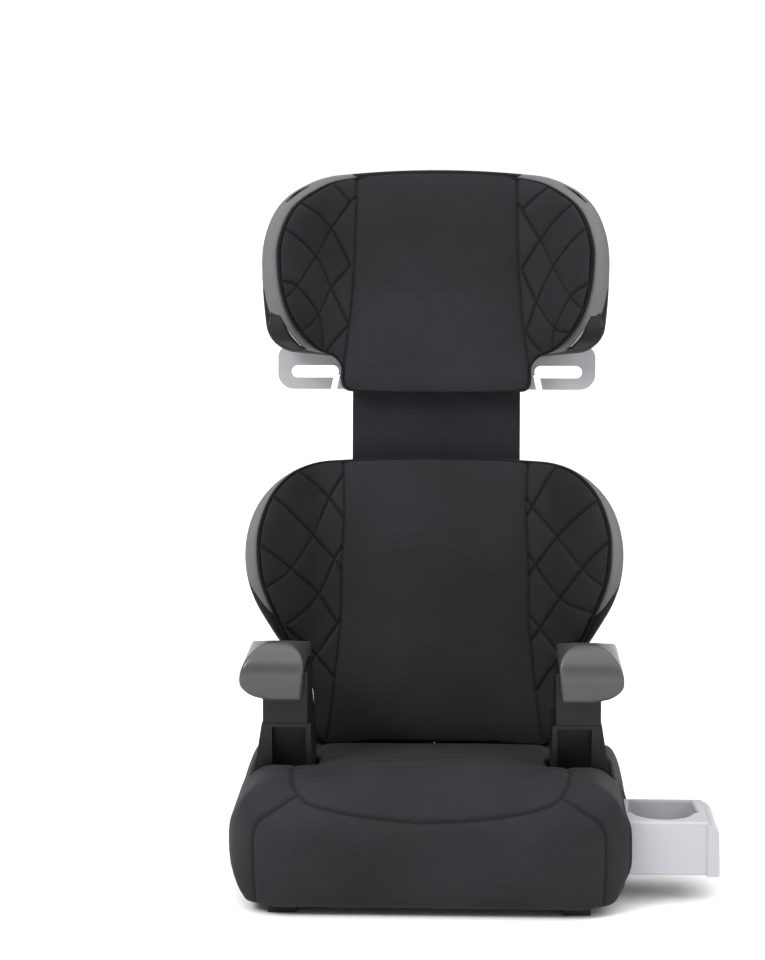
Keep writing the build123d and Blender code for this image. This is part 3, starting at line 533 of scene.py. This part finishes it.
def border(rest, grey_limit):
    """The band from the piping round the wing's nose and back over its outer face."""
    edge, out = rest.edge, rest.outline
    wide, tall = out[:, 0], out[:, 1]
    below_piping, off_shell = 0.6, 0.4
    front = rest.depth_at(edge[:, 0]) + below_piping
    nose = np.minimum(NOSE_DEPTH, (BORDER_REAR - front) * 0.5)
    fullness = np.minimum(1, np.linalg.norm(out - edge, axis=1) / 8)
    rings, shares = [], []
    for angle in np.linspace(0, pi / 2, 11):
        outward, back = sin(angle) ** NOSE_POWER, 1 - cos(angle) ** NOSE_POWER
        puff = NOSE_PUFF * sin(2 * angle) * fullness
        x = edge[:, 0] + (wide - edge[:, 0]) * outward
        v = edge[:, 1] + (tall - edge[:, 1]) * outward
        rings.append((x, front + nose * back - puff, v))
        shares.append(angle / (pi / 2))
    section_d, section_x = rest.section[::-1, 1], rest.section[::-1, 0]
    for share in np.linspace(0, 1, 16)[1:]:
        d = front + nose + (BORDER_REAR - front - nose) * share
        half_width = np.interp(d, section_d, section_x) + off_shell
        rings.append((np.sign(wide) * np.minimum(np.abs(wide), half_width), d, tall))
        shares.append(1 + share)
    count, ring_count = len(edge), len(rings)
    points = np.concatenate([place(*ring) for ring in rings])
    index = np.arange(ring_count * count).reshape(ring_count, count)
    ahead = np.roll(index, -1, axis=1)
    faces = np.stack([index[:-1], index[1:], ahead[1:], ahead[:-1]], axis=-1).reshape(-1, 4)
    piece = make_object(f"{rest.name}_border", points, faces, TRIM_KNIT)
    centre = points.mean(axis=0)
    if ((points - centre) * normals(piece)).sum() < 0:
        piece.data.flip_normals()
    limit = np.array([grey_limit(abs(x), v) for x, v in edge])
    paths = points.reshape(ring_count, count, 3) / MM
    steps = np.linalg.norm(np.diff(paths, axis=0), axis=2)
    run = np.vstack([np.zeros(count), np.cumsum(steps, axis=0)])
    set_values(piece, "grey", (limit - run).ravel())
    # painted shade along the border's join with the piping
    set_values(piece, "painted_crease_shade", np.repeat(bell(np.array(shares), 0.06) * 0.7, count))
    thicken(piece, BORDER_THICKNESS * MM)
    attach(piece, rest.body)
    return piece


def piping(rest):
    x, v = rest.edge.T
    line = place(x, rest.depth_at(x) - 1.2, v)
    cord(f"{rest.name}_piping", line, PIPING_RADIUS * MM, PIPING, rest.body)


HEAD_OUTLINE = [(0, 646), (110, 640), (181, 585), (190, 535), (187, 468), (160, 441), (118, 437),
                (107, 425), (107, 408), (96, 397), (0, 394)]
BACK_OUTLINE = [(0, 323), (120, 319), (200, 258), (207, 214), (190, 150), (168, 112), (147, 62),
                (136, 2), (0, 2)]
HEAD_EDGE = [(0, 641), (50, 640), (90, 635.5), (120, 628), (146, 609), (161, 588), (170, 557),
             (170.5, 532), (168, 508), (161, 482), (149, 461), (133, 445), (113, 436), (105, 424),
             (104.5, 409), (94, 399), (50, 397), (0, 396.5)]
BACK_EDGE = [(0, 321), (60, 320), (104, 317.5), (128, 316), (152, 308), (170, 293), (182, 273),
             (190, 246), (191.5, 222), (189.5, 196), (183.5, 173), (174, 148), (163, 121),
             (149, 96), (138, 62), (129, 6), (60, 4), (0, 4)]
# spots on the piping and the spots of the outline that the border joins them to
HEAD_PAIRS = [((90, 635.5), (100, 641)), ((146, 609), (160, 613)), ((170.5, 532), (190, 535)),
              ((161, 482), (188, 482)), ((149, 461), (180, 455)), ((133, 445), (158, 441)),
              ((113, 436), (118, 437)), ((104.5, 409), (107, 408))]
BACK_PAIRS = [((104, 317.5), (112, 320)), ((152, 308), (166, 302)), ((182, 273), (195, 268)),
              ((191.5, 222), (207, 214)), ((183.5, 173), (199, 172)), ((163, 121), (173, 121)),
              ((138, 62), (147, 62)), ((129, 6), (136, 2))]
HEAD_SECTION = ([(131, 28.5), (190, -34), (176, -88)], radians(-8))
BACK_SECTION = ([(149, 28.5), (207, -30), (192, -80)], radians(-8))
HEAD_SEAM = [(90, 637), (91, 599), (93, 539), (97, 488), (101, 458), (104, 431), (106, 408)]
BACK_SEAM = [(104, 318), (103, 259), (106, 207), (107, 146), (111, 102), (115, 66), (123, 6)]
HEAD_CHANNELS_LEFT = [
    [(116, 626), (98, 609)],
    [(152, 604), (122, 578), (98, 538)],
    [(168, 574), (140, 546), (122, 512), (99, 471)],
    [(170, 516), (158, 511), (137, 482), (129, 446)],
    [(90, 615), (98, 609), (122, 578), (140, 546), (158, 511), (168, 494)],
    [(98, 538), (122, 512), (137, 482), (150, 462)],
    [(99, 471), (118, 452), (124, 441)],
]
HEAD_CHANNELS_RIGHT = [
    [(125, 624), (96, 600)],
    [(152, 602), (120, 566), (97, 535)],
    [(166, 574), (136, 535), (116, 497), (103, 465)],
    [(169, 514), (154, 500), (137, 467), (132, 444)],
    [(92, 607), (96, 601), (120, 566), (136, 535), (154, 500), (165, 484)],
    [(97, 533), (116, 497), (137, 467), (150, 462)],
    [(103, 462), (118, 443)],
]
BACK_CHANNELS_LEFT = [
    [(153, 306), (122, 277), (104, 255)],
    [(178, 279), (142, 236), (115, 208), (106, 196)],
    [(191, 226), (165, 200), (135, 169), (111, 136)],
    [(166, 134), (137, 101), (112, 72)],
    [(104, 304), (122, 277), (142, 236), (165, 200), (186, 180)],
    [(104, 223), (115, 208), (135, 169), (166, 138)],
    [(108, 139), (137, 101), (143, 90)],
]
BACK_CHANNELS_RIGHT = [
    [(136, 312), (110, 268), (103, 258)],
    [(180, 277), (142, 235), (115, 202), (107, 192)],
    [(191, 232), (169, 202), (146, 167), (121, 132), (110, 118)],
    [(163, 122), (146, 103), (116, 62)],
    [(102, 279), (110, 268), (142, 235), (169, 202), (187, 184)],
    [(105, 216), (115, 202), (146, 167), (176, 154)],
    [(109, 144), (121, 132), (146, 103), (150, 100)],
]


def both_wings(left, right):
    """Sewn lines of the left wing turned to its side, with those of the right wing."""
    return [[(-x, v) for x, v in line] for line in left] + right


def head_grey(x, v):
    """How many mm the grey reaches from the piping over the wing's nose and side."""
    start, bottom, taper_top = 88, 430, 461
    if x < start or v < bottom:
        return NO_GREY
    width = float(np.interp(v, (505, 545, 575), (21, 55, 140)))
    if v < taper_top:
        width *= float(np.interp(x, (113, 126, 140, 149), (0, 0.45, 0.8, 1)))
    return width


def back_grey(x, v):
    """The same for the backrest, where the grey narrows to a point further down."""
    start = 112
    if x < start:
        return NO_GREY
    return float(np.interp(v, (146, 160, 180, 205, 240, 270), (0, 7, 13, 20, 50, 140)))


HEAD = Rest("headrest", "headrest", flat=84, arc=60, sweep=60, edge=HEAD_EDGE,
            outline=HEAD_OUTLINE, pairs=HEAD_PAIRS, section=HEAD_SECTION)
BACK = Rest("backrest", "backrest", flat=95, arc=60, sweep=55, edge=BACK_EDGE,
            outline=BACK_OUTLINE, pairs=BACK_PAIRS, section=BACK_SECTION)
for rest, seam, channels, grey_limit, node in (
    (HEAD, HEAD_SEAM, both_wings(HEAD_CHANNELS_LEFT, HEAD_CHANNELS_RIGHT), head_grey, "headrest_pad"),
    (BACK, BACK_SEAM, both_wings(BACK_CHANNELS_LEFT, BACK_CHANNELS_RIGHT), back_grey, "backrest_pad"),
):
    cover = front_cover(rest, seam, channels)
    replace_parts(cover, node)
    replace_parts(border(rest, grey_limit), node)
    piping(rest)


# ---- Neck sleeve --------------------------------------------------------------------------


def neck_sleeve():
    """Flat fabric sleeve on the headrest's neck, with faint sideways wrinkles."""
    low, high = 250.0, 425.0
    half, front = 94.5, 28.85
    across, up = np.arange(-half, half + 0.1, 3.0), np.arange(low, high + 0.1, 2.5)
    faces = grid_faces(len(across), len(up))
    x, v = (values.ravel() for values in np.meshgrid(across, up, indexing="ij"))
    sideways = 0.35
    points = np.column_stack([x * sideways, v, np.zeros(len(x))])
    wrinkle = 0.10 * soft_noise(points, size=14.0, seed=4.0)
    wrinkle += 0.05 * soft_noise(points, size=6.0, seed=5.0)
    piece = make_object("neck_sleeve", place(x, front + np.abs(wrinkle), v), faces, SLEEVE_KNIT)
    if normals(piece)[:, 1].mean() > 0:
        piece.data.flip_normals()
    thicken(piece, 0.9 * MM)
    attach(piece, "headrest")
    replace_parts(piece, "neck_cover")


neck_sleeve()

# ---- Hard pieces with eased edges ---------------------------------------------------------


def copy_of(node, name):
    piece = bpy.data.objects.new(name, NODES[node].data.copy())
    bpy.context.scene.collection.objects.link(piece)
    return piece


def joined(name, *nodes):
    """One mesh of several CAD nodes, as they stand."""
    mesh = bmesh.new()
    for node in nodes:
        mesh.from_mesh(NODES[node].data)
    piece = bpy.data.objects.new(name, bpy.data.meshes.new(name))
    mesh.to_mesh(piece.data)
    mesh.free()
    bpy.context.scene.collection.objects.link(piece)
    return piece


def weld(piece):
    """Joins the points that coincide and the faces that lie flat beside each other."""
    mesh = bmesh.new()
    mesh.from_mesh(piece.data)
    bmesh.ops.remove_doubles(mesh, verts=mesh.verts, dist=0.02 * MM)
    bmesh.ops.dissolve_limit(mesh, angle_limit=radians(1), verts=mesh.verts, edges=mesh.edges)
    mesh.to_mesh(piece.data)
    mesh.free()


def eased(node, width):
    """The CAD piece with its sharp edges slightly rounded."""
    piece = copy_of(node, f"{node}_finish")
    weld(piece)
    bevel = piece.modifiers.new("edges", "BEVEL")
    bevel.width, bevel.segments, bevel.limit_method = width, 3, "ANGLE"
    bevel.angle_limit = radians(35)
    apply_modifiers(piece)
    piece.data.shade_smooth()
    smooth = piece.modifiers.new("normals", "WEIGHTED_NORMAL")
    smooth.keep_sharp = True
    apply_modifiers(piece)
    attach(piece, NODES[node]["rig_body"])
    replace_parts(piece, node)
    finish_node(piece, NODE_SLOT[node])


def remeshed(piece, voxel, rounds):
    """The piece as one even mesh, smoothed over some rounds."""
    remesh = piece.modifiers.new("voxels", "REMESH")
    remesh.mode, remesh.voxel_size = "VOXEL", voxel
    relax = piece.modifiers.new("relax", "SMOOTH")
    relax.factor, relax.iterations = 0.5, rounds
    apply_modifiers(piece)
    piece.data.shade_smooth()


def rounded_cap(node):
    """Armrest cap: the CAD form with softly rounded shoulders."""
    piece = copy_of(node, f"{node}_finish")
    remeshed(piece, voxel=1.6 * MM, rounds=14)
    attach(piece, "base")
    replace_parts(piece, node)
    # the caps' lighter base colour is painted light from above and in front
    finish_node(piece, "gloss_black")


for name in ("armrest_cap_left", "armrest_cap_right"):
    rounded_cap(name)

for name, piece in NODES.items():
    finish_node(piece, NODE_SLOT[name])

# ---- Seat cushion -------------------------------------------------------------------------

SEAT_RIDGE = [(-0.146, -0.112, 0.139), (-0.08, -0.118, 0.139), (0, -0.120, 0.139)]
SEAT_SIDE_SEAM = [(-0.146, -0.112, 0.139), (-0.139, -0.050, 0.132), (-0.130, 0.050, 0.120),
                  (-0.124, 0.105, 0.112)]
SEAT_FRONT_PANEL = [(-0.146, -0.112, 0.139), (-0.143, -0.150, 0.137), (-0.134, -0.178, 0.128),
                    (-0.112, -0.190, 0.118), (-0.06, -0.200, 0.111), (0, -0.204, 0.109)]
SEAT_CORNER_SEAM = [(-0.136, -0.176, 0.128), (-0.156, -0.190, 0.115), (-0.176, -0.192, 0.098),
                    (-0.186, -0.195, 0.083), (-0.188, -0.198, 0.058), (-0.187, -0.198, 0.036),
                    (-0.184, -0.196, 0.014)]
DOORWAY_Y, DOORWAY_Z = (-0.152, -0.037), (0.021, 0.103)
DOORWAY_CORNER_Y, DOORWAY_CORNER_Z = 0.008, 0.009
# where the cover is held: its hem, its rear and the strips round the armrest towers
HEM_TOP, REAR_START = 0.030, 0.085
ARM_X, ARM_HALF_WIDTH = 0.158, 0.044
ARM_Y, ARM_HALF_LENGTH = -0.035, 0.055


def whole_line(half):
    """A seam across the middle, from its left half."""
    points = np.array(half)
    return curve_through(np.vstack([points, (points * (-1, 1, 1))[::-1][1:]]), 12)


def to_surface(piece, line):
    """The spots of a piece's surface that lie nearest to a line's points."""
    tree = BVHTree.FromObject(piece, bpy.context.evaluated_depsgraph_get())
    return np.array([tree.find_nearest(Vector(p))[0] for p in line])


def inflate(piece, pinned, pressure, cap, steps=20):
    """Cloth with pressure and no gravity; how far a point may move is capped."""
    start = coordinates(piece)
    group = piece.vertex_groups.new(name="held")
    for index in np.where(pinned > 0.01)[0]:
        group.add([int(index)], float(pinned[index]), "REPLACE")
    cloth = piece.modifiers.new("cloth", "CLOTH")
    cloth.settings.quality = 4
    cloth.settings.mass = 0.25
    cloth.settings.tension_stiffness = cloth.settings.compression_stiffness = 12
    cloth.settings.bending_stiffness = 0.6
    cloth.settings.vertex_group_mass = "held"
    cloth.settings.pin_stiffness = 1
    cloth.settings.use_pressure = True
    cloth.settings.uniform_pressure_force = pressure
    cloth.settings.effector_weights.gravity = 0
    cloth.collision_settings.use_collision = False
    scene = bpy.context.scene
    for step in range(1, steps + 1):
        scene.frame_set(step)
    graph = bpy.context.evaluated_depsgraph_get()
    moved = coordinates(piece.evaluated_get(graph)) - start
    length = np.linalg.norm(moved, axis=1, keepdims=True)
    moved *= np.minimum(1, cap / np.maximum(length, 1e-9))
    piece.modifiers.clear()
    scene.frame_set(1)
    piece.vertex_groups.clear()
    set_coordinates(piece, start + moved)


def doorway_binding(cushion):
    """Rolled edge of the cover round the cup holder's doorway."""
    (front, rear), (low, high) = DOORWAY_Y, DOORWAY_Z
    y0, y1 = front + DOORWAY_CORNER_Y, rear - DOORWAY_CORNER_Y
    z0, z1 = low + DOORWAY_CORNER_Z, high - DOORWAY_CORNER_Z
    corners = [(front, z0), (front, z1), (y0, high), (y1, high), (rear, z1), (rear, z0), (y1, low),
               (y0, low)]
    tree = BVHTree.FromObject(cushion, bpy.context.evaluated_depsgraph_get())
    beside, inner_limit = 0.3, 0.17
    line = []
    for y, z in evenly(np.array(corners), 0.004):
        spot = tree.ray_cast(Vector((beside, y, z)), Vector((-1, 0, 0)))[0]
        if spot and spot.x > inner_limit:
            line.append(np.array(spot))
    line = np.array(line)
    for _ in range(4):
        line = (np.roll(line, 1, axis=0) + 2 * line + np.roll(line, -1, axis=0)) / 4
    cord("doorway_binding", line - (0.5 * MM, 0, 0), 3 * MM, BLACK_KNIT, "base")


def held_share(points):
    """How firmly each point of the cover is held in place, from 0 to 1."""
    x, y, z = points.T
    hem = fade(HEM_TOP - z, 0.012)
    rear = fade(y - REAR_START, 0.020)
    arms = fade(ARM_HALF_WIDTH - np.abs(np.abs(x) - ARM_X), 0.010)
    arms *= fade(ARM_HALF_LENGTH - np.abs(y - ARM_Y), 0.010)
    return np.maximum.reduce([hem, rear, arms])


def seat_cushion():
    """The seat's cover and foam as one padded skin, puffed up, with its seams pressed in."""
    piece = joined("seat_cushion", "seat_pad", "seat_foam")
    remeshed(piece, voxel=4.2 * MM, rounds=10)
    inflate(piece, held_share(coordinates(piece)), pressure=3.5, cap=3 * MM)
    subdivide = piece.modifiers.new("finer", "SUBSURF")
    subdivide.levels = subdivide.render_levels = 1
    apply_modifiers(piece)
    piece.data.shade_smooth()
    points, out = coordinates(piece), normals(piece)
    seams = [whole_line(SEAT_FRONT_PANEL)]
    for line in (SEAT_SIDE_SEAM, SEAT_CORNER_SEAM):
        seams += [curve_through(np.array(line) * (side, 1, 1), 12) for side in (1, -1)]
    to_seam = nearest_of(points, [to_surface(piece, line) for line in seams])
    to_ridge = nearest_of(points, [to_surface(piece, whole_line(SEAT_RIDGE))])
    above_hem = fade(points[:, 2] - 0.02, 0.02)
    lift = sewn(to_seam, puff=1.2 * MM, reach=10 * MM, depth=2 * MM, width=2.6 * MM)
    lift += 1.8 * MM * bell(to_ridge, 3.5 * MM)
    lift += 0.5 * MM * soft_noise(points, size=0.045, seed=7.0) * above_hem
    set_coordinates(piece, points + out * lift[:, None])
    # painted shade along the seat's seams
    set_values(piece, "painted_crease_shade", bell(to_seam, 1.6 * MM) * 0.8)
    set_values(piece, "grey", np.full(len(points), NO_GREY))
    finish_node(piece, "black_knit")
    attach(piece, "base")
    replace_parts(piece, "seat_pad")
    doorway_binding(piece)


seat_cushion()


def foam_slab():
    """The seat's foam, drawn in a little from its cover."""
    piece = copy_of("seat_foam", "seat_foam_slab")
    weld(piece)
    set_coordinates(piece, coordinates(piece) - normals(piece) * 3 * MM)
    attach(piece, "base")
    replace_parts(piece, "seat_foam")
    finish_node(piece, "foam")


foam_slab()

for name, width in (
    ("cup_holder", 1.2), ("belt_guide_left", 1.2), ("belt_guide_right", 1.2),
    ("armrest_tower_left", 1.2), ("armrest_tower_right", 1.2), ("armrest_left", 1.0),
    ("armrest_right", 1.0), ("release_lever", 0.8), ("adjuster_bracket", 0.8),
):
    eased(name, width * MM)

# ---- Room, light and camera ---------------------------------------------------------------


def floor():
    reach = 40.0
    corners = [(-reach, -reach, 0), (reach, -reach, 0), (reach, reach, 0), (-reach, reach, 0)]
    mesh = bpy.data.meshes.new("floor")
    mesh.from_pydata(corners, [], [(0, 1, 2, 3)])
    piece = bpy.data.objects.new("floor", mesh)
    bpy.context.scene.collection.objects.link(piece)
    shader = Shader("pale_floor", 0.9)
    shader.bsdf.inputs["Base Color"].default_value = (0.93, 0.93, 0.93, 1)
    mesh.materials.append(shader.material)


def area_light(name, place_at, target, size, power):
    light = bpy.data.lights.new(name, "AREA")
    light.shape, light.size, light.energy = "SQUARE", size, power
    piece = bpy.data.objects.new(name, light)
    piece.location = place_at
    aim = Vector(target) - Vector(place_at)
    piece.rotation_euler = aim.to_track_quat("-Z", "Y").to_euler()
    bpy.context.scene.collection.objects.link(piece)


def camera():
    yaw, pitch = radians(2.15), radians(8.07)
    data = bpy.data.cameras.new("camera")
    data.sensor_width, data.lens = 36.0, 97.5
    data.clip_start, data.clip_end = 0.1, 30
    piece = bpy.data.objects.new("camera", data)
    piece.location = (0.049, -2.760, 0.816)
    forward = Vector((-sin(yaw) * cos(pitch), cos(yaw) * cos(pitch), -sin(pitch)))
    piece.rotation_euler = forward.to_track_quat("-Z", "Y").to_euler()
    bpy.context.scene.collection.objects.link(piece)
    bpy.context.scene.camera = piece


def studio():
    """White all round at eye level, dim above it, and a broad bright ceiling."""
    world = bpy.data.worlds.new("studio")
    world.use_nodes = True
    nodes, links = world.node_tree.nodes, world.node_tree.links
    direction = nodes.new("ShaderNodeTexCoord").outputs["Generated"]
    split = nodes.new("ShaderNodeSeparateXYZ")
    links.new(direction, split.inputs[0])
    sky = nodes.new("ShaderNodeValToRGB")
    stops = sky.color_ramp.elements
    ceiling_start, ceiling_full, ceiling_gain = 0.55, 0.72, 2.3
    levels = ((0.0, 1.0), (0.13, 1.0), (0.22, 0.22), (ceiling_start, 0.3), (ceiling_full, 1.0),
              (1.0, 1.0))
    for _ in range(len(levels) - 2):
        stops.new(0.5)
    for stop, (height, level) in zip(stops, levels):
        stop.position, stop.color = height, (level, level, level, 1)
    links.new(split.outputs["Z"], sky.inputs[0])
    gain = nodes.new("ShaderNodeMapRange")
    for socket, value in (("From Min", ceiling_start), ("From Max", ceiling_full),
                          ("To Min", 1.0), ("To Max", ceiling_gain)):
        gain.inputs[socket].default_value = value
    links.new(split.outputs["Z"], gain.inputs["Value"])
    background = nodes["Background"]
    links.new(sky.outputs["Color"], background.inputs["Color"])
    links.new(gain.outputs[0], background.inputs["Strength"])
    bpy.context.scene.world = world
    bpy.context.scene.view_settings.view_transform = "Standard"
    middle = (0, 0, 0.4)
    area_light("key", (-1.5, -1.7, 1.9), middle, size=0.9, power=45)
    area_light("fill", (1.9, -1.5, 1.3), middle, size=1.0, power=16)


floor()
camera()
studio()
